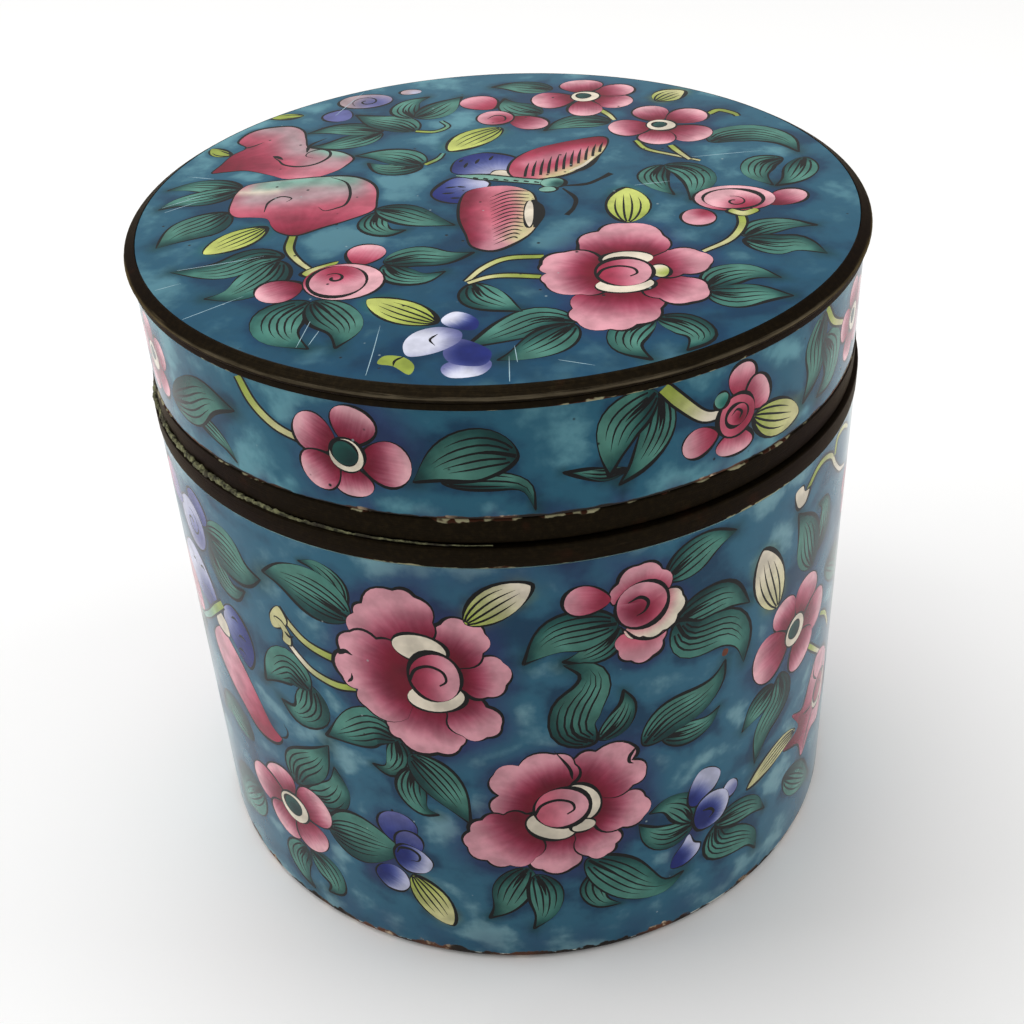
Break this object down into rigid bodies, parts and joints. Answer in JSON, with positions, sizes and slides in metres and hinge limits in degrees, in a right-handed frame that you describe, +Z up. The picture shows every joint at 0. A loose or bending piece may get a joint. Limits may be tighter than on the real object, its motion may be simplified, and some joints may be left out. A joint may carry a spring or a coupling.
{
  "type": "enamelled lidded jar",
  "caption": "Straight-sided round enamelled copper jar with a lift-off lid, dark metal bands at the mouth and lid edges, and painted flowers on blue.",
  "frame": {"origin": "centre of the underside, on the surface that the jar stands on", "axes": "+Z up along the jar's axis; the picture looks along +Y and down"},
  "size_m": [0.1004, 0.1004, 0.0984],
  "materials": {
    "jar_enamel": "glossy painted enamel on copper, mid blue with pink flowers and green leaves",
    "mouth_metal": "darkened by age, satin, with grey-green crust on its top edge",
    "lid_enamel": "glossy painted enamel on copper, scratched, mid blue with flowers, peaches and a butterfly",
    "lid_foot_metal": "darkened by age, satin, finely scratched",
    "lid_ring_metal": "darkened by age, rubbed lighter on the bead"
  },
  "bodies": {
    "root": {"jar_body": "jar_enamel", "mouth_band": "mouth_metal", "lid_shell": "lid_enamel", "lid_foot_band": "lid_foot_metal", "lid_top_ring": "lid_ring_metal"}
  },
  "joints": []
}
